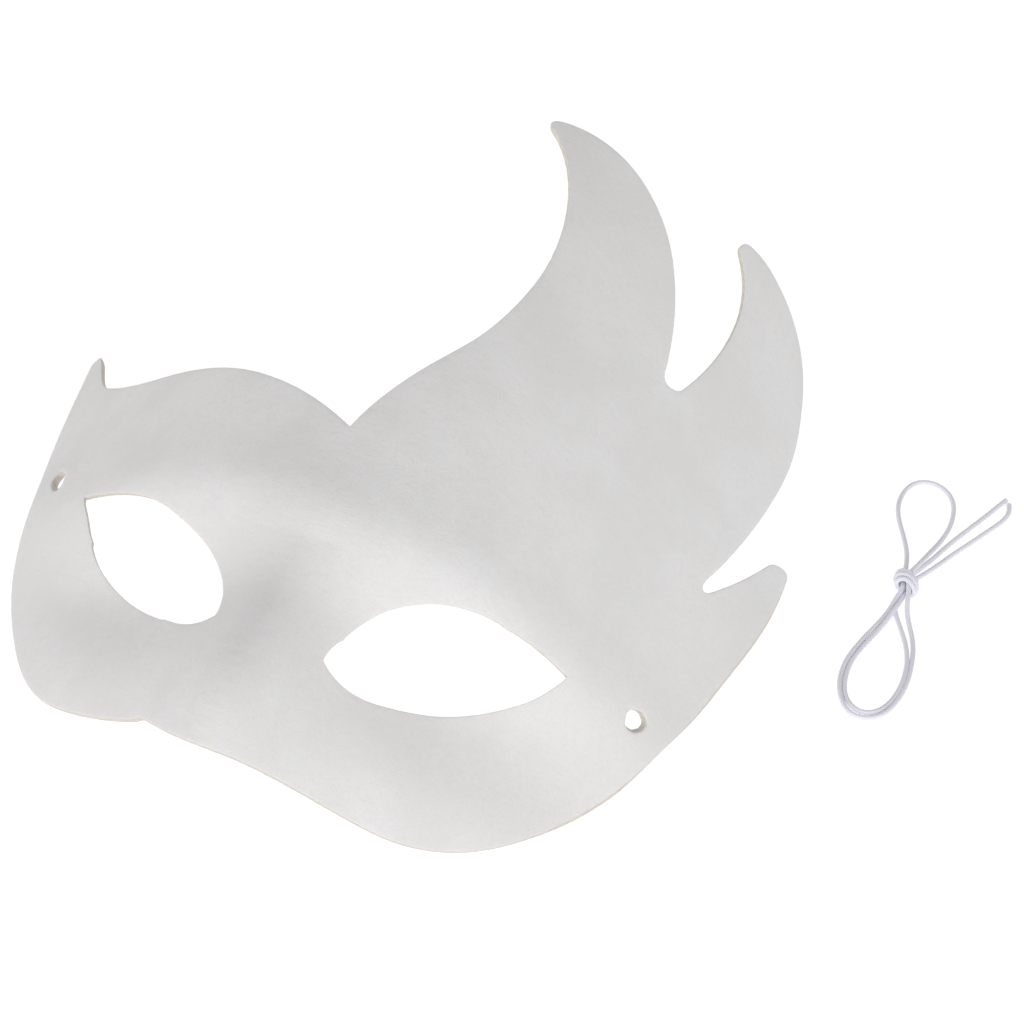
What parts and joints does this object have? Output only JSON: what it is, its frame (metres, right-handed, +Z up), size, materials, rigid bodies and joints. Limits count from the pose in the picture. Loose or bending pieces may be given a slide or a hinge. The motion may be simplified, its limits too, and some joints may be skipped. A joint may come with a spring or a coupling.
{
  "type": "venetian half mask",
  "caption": "Blank moulded half mask with a flame-shaped brow on one side, and its loose round elastic tied in a hank.",
  "frame": {"origin": "centre of the mask's bounding box, on the table that the mask lies on face up", "axes": "+Z up out of the face, +Y from the nose to the forehead and flames, +X to the viewer's right (the wearer's left), where the flames and the elastic are"},
  "size_m": [0.2048, 0.1934, 0.071],
  "materials": {
    "pulp": "matte, fine felted paper fibre",
    "elastic_braid": "soft fine braid over a rubber core"
  },
  "bodies": {
    "mask": {"mask_shell": "pulp"},
    "elastic": {"elastic_knot": "elastic_braid", "elastic_tail_1": "elastic_braid", "elastic_lower_loop_1": "elastic_braid", "elastic_upper_loop": "elastic_braid", "elastic_lower_loop_2": "elastic_braid", "elastic_tail_2": "elastic_braid"}
  },
  "joints": [
    {"name": "elastic_lift", "type": "slide", "parent": "mask", "child": "elastic", "axis": [0, 0, 1], "range_m": [0, 0.1]}
  ]
}
